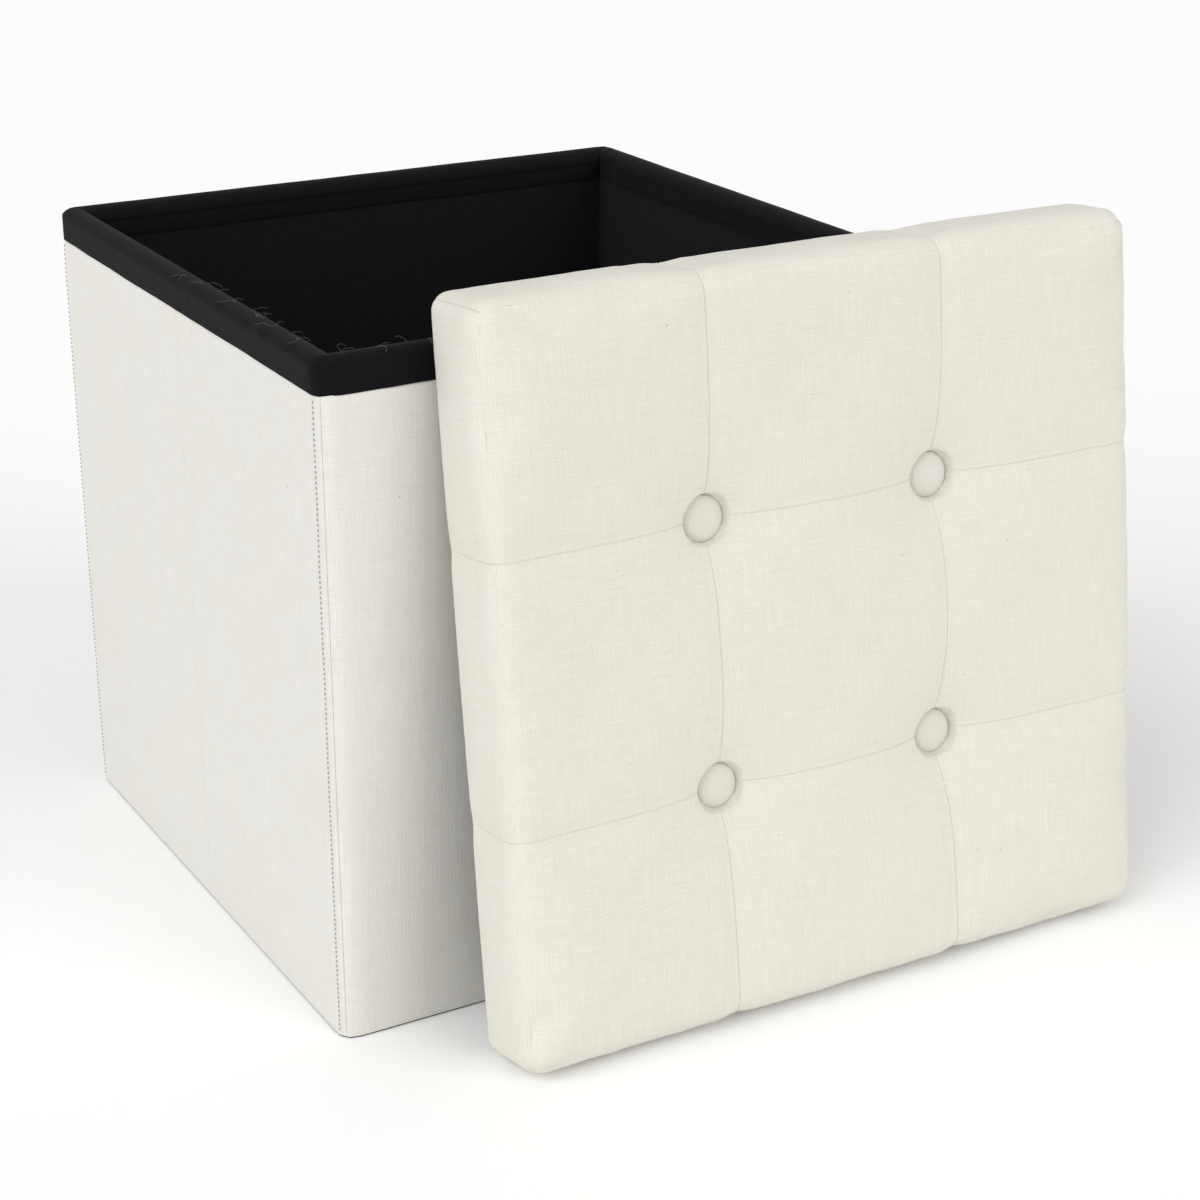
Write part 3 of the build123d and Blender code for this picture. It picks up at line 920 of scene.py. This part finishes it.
def lid_point(p, crown, fine):
    """A point of the plain box moved to the lid's shape. p is across, along and above the underside."""
    x, y, z = p
    rise = smooth(z, RETURN_LOW, LID_HIGH)
    corner = (9.0 + 4.0 * rise) * MM
    edge = 11.5 * MM if z > LID_THICK / 2 else 4.5 * MM
    radius = min(corner, edge) if z < LID_THICK / 2 else corner
    inner_x = max(-LID_HALF + corner, min(LID_HALF - corner, x))
    inner_y = max(-LID_HALF + corner, min(LID_HALF - corner, y))
    inner_z = max(RETURN_LOW + edge, min(LID_HIGH - edge, z))
    away = Vector(((x - inner_x) / corner, (y - inner_y) / corner, (z - inner_z) / edge))
    if away.length > 1e-9:
        away.normalize()
    form = Vector((inner_x + away.x * corner, inner_y + away.y * corner, inner_z + away.z * edge))
    out = Vector((away.x, away.y, away.z * radius / edge)).normalized()
    face = smooth(z, LID_HIGH - 16 * MM, LID_HIGH)
    level = max(0.0, 1 - (2 * (z - RETURN_LOW) / (LID_HIGH - RETURN_LOW) - 1) ** 4)
    swell_x, swell_y = cell_swell(x, LID_HALF), cell_swell(y, LID_HALF)
    on_face = z >= LID_HIGH - 1e-7
    if on_face:
        form.z += crown * PANEL_CROWN * (max(0.0, swell_x) * max(0.0, swell_y)) ** 0.9
    along_side = swell_y if abs(x) > abs(y) else swell_x
    side_push = SIDE_PUFF * max(0.0, along_side) ** 0.7 * level * (1 - 0.45 * rise)
    form += Vector((out.x, out.y, 0)) * (side_push * (0.5 + 0.5 * crown))
    fade = face * smooth(min(LID_HALF - abs(x), LID_HALF - abs(y)), -1 * MM, 30 * MM)
    form.z -= dimple(x, y) * (fade if on_face else 0.0)
    crosses_x = on_face or abs(y) > abs(x)
    crosses_y = on_face or abs(x) >= abs(y)
    reach = min(seam_gap(x) if crosses_x else NO_SEAM, seam_gap(y) if crosses_y else NO_SEAM)
    low_fade = smooth(z, RETURN_LOW, RETURN_LOW + 8 * MM)
    soft = groove(reach, 6.5 * MM, 1.15 * MM) * low_fade
    crisp = (groove(reach, 0.40 * MM, 0.5 * MM) - groove(reach - 1.1 * MM, 0.6 * MM, 0.14 * MM)) * low_fade
    form -= out * (soft + (crisp if fine else 0.0))
    if fine and not on_face:
        dart = hypot(LID_HALF - abs(x), LID_HALF - abs(y))
        form -= out * groove(dart, 0.5 * MM, 0.6 * MM) * low_fade
    uneven = noise.noise(Vector((x / LID_WAVE, y / LID_WAVE, z / LID_WAVE + 4.1))) * 0.5 * MM
    form += out * uneven * smooth(z, RETURN_LOW, 12 * MM)
    form.x = warped(form.x, form.y) if on_face else form.x
    return form


def lid_lines(step, fine):
    """Positions of the grid lines across the face, closer together by seams, buttons and edges."""
    near = SEAM_OFFSETS if fine else (12.0,)
    values = {SEAM_AT * side for side in (-1, 1)}
    for side in (-1, 1):
        for offset in near:
            values |= {side * SEAM_AT + offset * MM, side * SEAM_AT - offset * MM}
        for offset in EDGE_OFFSETS if fine else (3.0, 7.0, 11.5):
            values.add(side * (LID_HALF - offset * MM))
        values.add(side * LID_HALF)
    room = 0.62 * step
    for value in spread(-LID_HALF, LID_HALF, step):
        if all(abs(value - other) > room for other in values):
            values.add(value)
    return sorted(values)


def lid_mesh(step, crown, fine):
    """The lid's skin as a grid: its face, its four sides, its turned-under edge and a closed inside.
    Returns the shaped points, the faces and the numbers of the points that the maker's thread holds."""
    lines = lid_lines(step, fine)
    offsets = [0.35, 0.9, 1.8, 3.2, 5.0, 7.6, 11.0] if fine else [2.5, 6.0, 11.0]
    heights = [RETURN_LOW + value * MM for value in (0, *offsets)]
    heights += spread(RETURN_LOW + 15 * MM, LID_HIGH - 14 * MM, step)
    heights += [LID_HIGH - value * MM for value in reversed(offsets)]
    heights = sorted(set(heights))
    last = len(lines) - 1
    border = [(i, 0) for i in range(last)] + [(last, j) for j in range(last)]
    border += [(last - i, last) for i in range(last)] + [(0, last - j) for j in range(last)]
    points, flat, faces = [], [], []

    def add_point(p):
        flat.append(p)
        points.append(lid_point(p, crown, fine))
        return len(points) - 1

    face_numbers = {}
    for i, x in enumerate(lines):
        for j, y in enumerate(lines):
            face_numbers[i, j] = add_point((x, y, LID_HIGH))
    for i in range(last):
        for j in range(last):
            faces.append(tuple(face_numbers[a] for a in ((i, j), (i + 1, j), (i + 1, j + 1), (i, j + 1))))
    upper = [face_numbers[a] for a in border]
    for z in reversed(heights):
        lower = [add_point((lines[i], lines[j], z)) for i, j in border]
        faces += joined(upper, lower)
        upper = lower
    inside = (
        (RETURN_WIDE * 0.4, RETURN_LOW),
        (RETURN_WIDE, RETURN_LOW),
        (RETURN_WIDE, RETURN_LOW + RETURN_THICK),
        (6.1 * MM, RETURN_LOW + RETURN_THICK),
        (6.1 * MM, RETURN_LOW + RETURN_THICK + 5.1 * MM),
    )
    for inset, z in inside:
        shrink = (LID_HALF - inset) / LID_HALF
        lower = []
        for i, j in border:
            points.append(Vector((lines[i] * shrink, lines[j] * shrink, z)))
            flat.append((lines[i] * shrink, lines[j] * shrink, z))
            lower.append(len(points) - 1)
        faces += joined(upper, lower)
        upper = lower
    faces.append(tuple(reversed(upper)))
    held = []
    for number, (x, y, z) in enumerate(flat):
        sewn = min(seam_gap(x), seam_gap(y)) < 0.6 * MM and z > LID_THICK * 0.2
        low = z < RETURN_LOW + 4 * MM
        pressed = min(hypot(x - a * SEAM_AT, y - b * SEAM_AT) for a, b in BUTTONS) < BUTTON_RADIUS * 1.35
        if sewn or low or (pressed and z > LID_THICK / 2):
            held.append(number)
    return points, faces, held


def swell_field():
    """Cloth simulation of the lid on a coarse copy: where each of its points moves as the foam pushes out."""
    points, faces, held = lid_mesh(6 * MM, 0.0, False)
    mesh = bpy.data.meshes.new("swell")
    mesh.from_pydata([tuple(p) for p in points], [], faces)
    mesh.update()
    coarse = bpy.data.objects.new("swell", mesh)
    bpy.context.scene.collection.objects.link(coarse)
    group = coarse.vertex_groups.new(name="held")
    group.add(held, 1.0, "REPLACE")
    cloth = coarse.modifiers.new("cloth", "CLOTH")
    settings = cloth.settings
    settings.quality = 6
    settings.mass = 0.3
    settings.tension_stiffness = settings.compression_stiffness = 30
    settings.shear_stiffness = 12
    settings.bending_stiffness = 1.5
    settings.use_pressure = True
    settings.uniform_pressure_force = 4.0
    settings.vertex_group_mass = "held"
    settings.effector_weights.gravity = 0.0
    cloth.collision_settings.use_collision = False
    scene = bpy.context.scene
    scene.frame_start, scene.frame_end = 1, 20
    for step in range(1, 21):
        scene.frame_set(step)
    shaped = coarse.evaluated_get(bpy.context.evaluated_depsgraph_get())
    moved = [vertex.co.copy() for vertex in shaped.data.vertices]
    scene.frame_set(1)
    bpy.data.objects.remove(coarse)
    shift = [after - before for after, before in zip(moved, points)]
    tree = BVHTree.FromPolygons([tuple(p) for p in points], faces[:-1])
    return tree, points, faces, shift


def swollen(points):
    """The lid's points carried along with the simulated copy, by no more than the cap."""
    tree, start, faces, shift = swell_field()
    longest = sorted(move.length for move in shift)[int(len(shift) * 0.995)]
    share = min(1.0, PANEL_CROWN * 1.15 / max(longest, 1e-6))
    result = []
    for point in points:
        place, _, number, _ = tree.find_nearest(point)
        corners = faces[number]
        weights = [1 / ((start[c] - place).length + 1e-6) ** 2 for c in corners]
        move = sum((shift[c] * w for c, w in zip(corners, weights)), Vector((0, 0, 0))) / sum(weights)
        result.append(point + move * share)
    return result


def lid_sheet_piece(name, points, faces, material, replaced):
    piece = make_piece(name, [LID_FRAME @ Vector(p) for p in points], faces, material, "lid", replaced)
    return piece


def make_lid_cover():
    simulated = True
    points, faces, _ = lid_mesh(4.2 * MM, 0.25 if simulated else 1.0, True)
    if simulated:
        points = swollen(points)
    cover = lid_sheet_piece("lid_cushion", points, faces, LID_LINEN, ("lid_cover", "lid_foam"))


make_lid_cover()


# ---------------------------------------------------------------- lid: buttons
def make_buttons():
    """Domed caps covered in the lid's linen, pinched a little where the cloth is gathered behind."""
    sides, points, faces = 72, [], []
    seat = BUTTON_SEAT + 2.4 * MM
    profile = [(0.0, 4.3), (2.5, 4.22), (5.0, 3.95), (7.5, 3.4), (9.4, 2.65), (10.8, 1.75), (11.6, 0.9),
               (12.0, 0.1), (11.8, -0.7), (11.2, -1.2), (9.0, -1.4), (0.0, -1.4)]
    for key, place in BUTTONS.items():
        seed = key[0] * 3.1 + key[1] * 1.7
        tilt = Vector((0.045 * noise.noise(Vector((seed, 1.0, 0))),
                       0.05 * noise.noise(Vector((seed, 2.0, 0)))))
        base = len(points)
        for radius, height in profile[1:-1]:
            for k in range(sides):
                angle = 2 * pi * k / sides
                pinch = 0.10 * noise.noise(Vector((cos(angle) * 2.2, sin(angle) * 2.2, seed)))
                pleat = 0.10 * sin(angle * 17 + 3 * noise.noise(Vector((cos(angle), sin(angle), seed))))
                wide = radius + (pinch + pleat * smooth(radius, 8.5, 12.0)) * (radius / 12)
                x, y = cos(angle) * wide * MM, sin(angle) * wide * MM
                z = height * MM + x * tilt.x + y * tilt.y
                points.append((place.x + x, place.y + y, seat + z))
        rings = len(profile) - 2
        faces += ring_faces(base, rings, sides)
        top = len(points)
        points.append((place.x, place.y, seat + profile[0][1] * MM))
        points.append((place.x, place.y, seat + profile[-1][1] * MM))
        for k in range(sides):
            m = (k + 1) % sides
            faces.append((top, base + m, base + k))
            faces.append((top + 1, base + (rings - 1) * sides + k, base + (rings - 1) * sides + m))
    buttons = lid_sheet_piece("linen_buttons", points, faces, BUTTON_LINEN, ("button_caps",))


make_buttons()


# ---------------------------------------------------------------- lid: underside
DUST_WAVE = 30 * MM
STAPLES = 9
STAPLE_PITCH = 38 * MM


def make_dust_cloth():
    """The black cloth under the lid, with a doubled edge and slight waves between its staples."""
    half, corner = DUST_HALF, 18 * MM
    loop = Loop(half, half, corner)
    stations = spread(0, loop.length, 6 * MM)[:-1]
    insets = (0.0, 0.4, 1.2, 4.0, 9.0, 11.0, 12.0, 20.0, 40.0, 70.0, 100.0, 130.0, 160.0)
    points, faces = [], []
    for layer in (0, 1):
        for inset in insets:
            shrink = 1 - inset * MM / half
            for s in stations:
                place, _ = loop.at(s)
                x, y = place.x * shrink, place.y * shrink
                wave = 0.18 * MM * noise.noise(Vector((x / DUST_WAVE, y / DUST_WAVE, 6.6)))
                hem_step = 0.22 * MM * smooth(inset, 10.5, 12.5)
                level = max(0.05 * MM, hem_step + wave)
                rounded = rounding(inset * MM, 0.4 * MM)
                z = DUST_THICK * 0.95 if layer else level + rounded
                points.append((x, y, z))
    count = len(stations)
    for layer in (0, 1):
        first = layer * len(insets) * count
        faces += ring_faces(first, len(insets), count)
        middle = first + (len(insets) - 1) * count
        faces.append(tuple(middle + k for k in range(count)))
    for k in range(count):
        m = (k + 1) % count
        faces.append((k, m, m + len(insets) * count, k + len(insets) * count))
    lid_sheet_piece("lid_dust_sheet", points, faces, HEM, ("lid_dust_cloth",))


def make_dust_staples():
    """Staples that hold the dust cloth, pressed into it all but flush."""
    points, faces = [], []
    wire, length = 0.25 * MM, 5 * MM
    inset = DUST_HALF - 6 * MM
    for turned in (False, True):
        for side in (-1, 1):
            for number in range(STAPLES):
                along = (number - STAPLES // 2) * STAPLE_PITCH
                along += 2 * MM * noise.noise(Vector((number, side, turned)))
                skew = 0.09 * noise.noise(Vector((number * 2.3, side * 5.1, 3.0 + turned)))
                way = Vector((cos(skew), sin(skew)))
                base = len(points)
                for share in (-1, -0.9, 0.9, 1):
                    for k in range(6):
                        angle = k * pi / 3
                        lateral = wire * cos(angle)
                        u = way.x * share * length - way.y * lateral + along
                        v = way.y * share * length + way.x * lateral + side * inset
                        level = 0.12 * MM + wire * sin(angle) + (0.3 * MM if abs(share) == 1 else 0.0)
                        points.append((v, u, level) if turned else (u, v, level))
                faces += tube_faces(base, 4, 6)
    lid_sheet_piece("dust_staples", points, faces, STEEL, ())


make_dust_cloth()
make_dust_staples()


# ---------------------------------------------------------------- box: lint and thread ends
def hair_piece(name, strands, radius, material, body):
    """Loose fibres as thin tubes through the given points."""
    points, faces = [], []
    for strand in strands:
        base = len(points)
        for index, place in enumerate(strand):
            ahead = strand[min(index + 1, len(strand) - 1)]
            behind = strand[max(index - 1, 0)]
            way = (ahead - behind).normalized()
            across = way.cross(Vector((0.3, 0.2, 0.93))).normalized()
            over = way.cross(across)
            for k in range(4):
                angle = k * pi / 2
                points.append(place + (across * cos(angle) + over * sin(angle)) * radius)
        faces += tube_faces(base, len(strand), 4)
    piece = make_piece(name, points, faces, material, body)


def lint_strand(start, way, length, seed, lift):
    """A curled fibre that wanders about its way and stands a little off the cloth."""
    places, side = [], way.cross(Vector((0, 0, 1))).normalized()
    for index in range(9):
        share = index / 8
        sway = noise.noise(Vector((share * 2.2, seed, 0.5))) * length * 0.45
        rise = lift * sin(pi * share) * (0.5 + abs(noise.noise(Vector((seed, share, 3)))))
        places.append(start + way * (length * share) + side * sway + Vector((0, 0, rise)))
    return places


def make_lint():
    """Lint caught on the binding, most of it near the corner beside the lid."""
    top = RIM_TOP + 0.1 * MM
    middle = HALF_X - WALL_THICK / 2
    left, front = [], []
    for number in range(17):
        picked = noise.noise(Vector((number * 1.37, 0.2, 0.9)))
        y = -150 * MM + 190 * MM * abs(picked) * 1.6
        angle = 9 * noise.noise(Vector((number * 0.77, 5.2, 1.1)))
        start = Vector((-middle + 5 * MM * noise.noise(Vector((number, 2.2, 8.1))), min(y, -6 * MM), top))
        length = (6 + 9 * abs(noise.noise(Vector((number * 1.7, 3.1, 2.2))))) * MM
        way = Vector((cos(angle), sin(angle), 0))
        left.append(lint_strand(start, way, length, number * 1.9, 1.3 * MM))
    for number in range(9):
        x = -165 * MM + 9 * MM * number
        angle = 9 * noise.noise(Vector((number * 0.91, 7.2, 4.1)))
        start = Vector((x, -middle + 5 * MM * noise.noise(Vector((number, 6.2, 1.1))), top))
        way = Vector((cos(angle), sin(angle), 0))
        front.append(lint_strand(start, way, 9 * MM, 31 + number * 2.3, 2.2 * MM))
    hair_piece("lint_left", left, 0.055 * MM, LINT, "left_front_leaf")
    hair_piece("lint_front", front, 0.055 * MM, LINT, "front_wall")


LINT = thread("lint", (0.16, 0.16, 0.18, 1))
make_lint()


# ---------------------------------------------------------------- CAD nodes that stay as they are
def finish_nodes():
    """Materials for the CAD nodes that no mesh piece stands for."""
    looks = {
        "board": BOARD,
        "steel_wire": STEEL,
        "steel_plate": STEEL,
        "twine": TWINE,
        "washer": PLASTIC,
    }
    for entry in frame["record"]["subparts"]:
        material = looks.get(entry["material_slot"])
        if material is not None:
            mesh = frame["nodes"][entry["node"]].data
            mesh.materials.clear()
            mesh.materials.append(material)


finish_nodes()


# ---------------------------------------------------------------- stage, light and camera
def make_floor():
    floor_mesh = bpy.data.meshes.new("floor")
    reach = 30.0
    floor_mesh.from_pydata(
        [(-reach, -reach, 0), (reach, -reach, 0), (reach, reach, 0), (-reach, reach, 0)], [], [(0, 1, 2, 3)]
    )
    graph = Graph("floor")
    grain = graph.noise(graph.place(), 60.0, 3.0)
    shade = graph.mix(grain, (0.955, 0.955, 0.955, 1), (0.97, 0.97, 0.97, 1))
    graph.put(graph.shader.inputs["Base Color"], shade)
    graph.shader.inputs["Roughness"].default_value = 0.9
    graph.shader.inputs["Specular IOR Level"].default_value = 0.1
    floor_mesh.materials.append(graph.material)
    floor = bpy.data.objects.new("floor", floor_mesh)
    bpy.context.scene.collection.objects.link(floor)


def soft_light(name, direction, strength, angle, colour):
    """A broad, even studio light that shines from a direction."""
    data = bpy.data.lights.new(name, "SUN")
    data.energy = strength
    data.angle = radians(angle)
    data.color = colour
    light = bpy.data.objects.new(name, data)
    light.rotation_euler = Vector(direction).to_track_quat("Z", "Y").to_euler()
    bpy.context.scene.collection.objects.link(light)


def make_light():
    world = bpy.data.worlds.new("studio")
    world.use_nodes = True
    background = world.node_tree.nodes["Background"]
    background.inputs["Color"].default_value = (1, 1, 1, 1)
    background.inputs["Strength"].default_value = 0.62
    bpy.context.scene.world = world
    soft_light("key", (-0.90, -0.22, 0.62), 1.50, 50, (0.99, 0.995, 1.0))
    soft_light("front", (0.38, -0.85, 0.42), 1.02, 38, (1.0, 0.985, 0.955))


def make_camera():
    data = bpy.data.cameras.new("camera")
    data.sensor_width = 36.0
    data.lens = 76.4
    data.clip_start, data.clip_end = 0.05, 50
    camera = bpy.data.objects.new("camera", data)
    camera.location = (-0.620, -1.209, 0.678)
    camera.rotation_euler = (radians(90 - 21.53), 0, radians(-29.76))
    bpy.context.scene.collection.objects.link(camera)
    bpy.context.scene.camera = camera


make_floor()
make_light()
make_camera()
bpy.context.scene.view_settings.view_transform = "Standard"
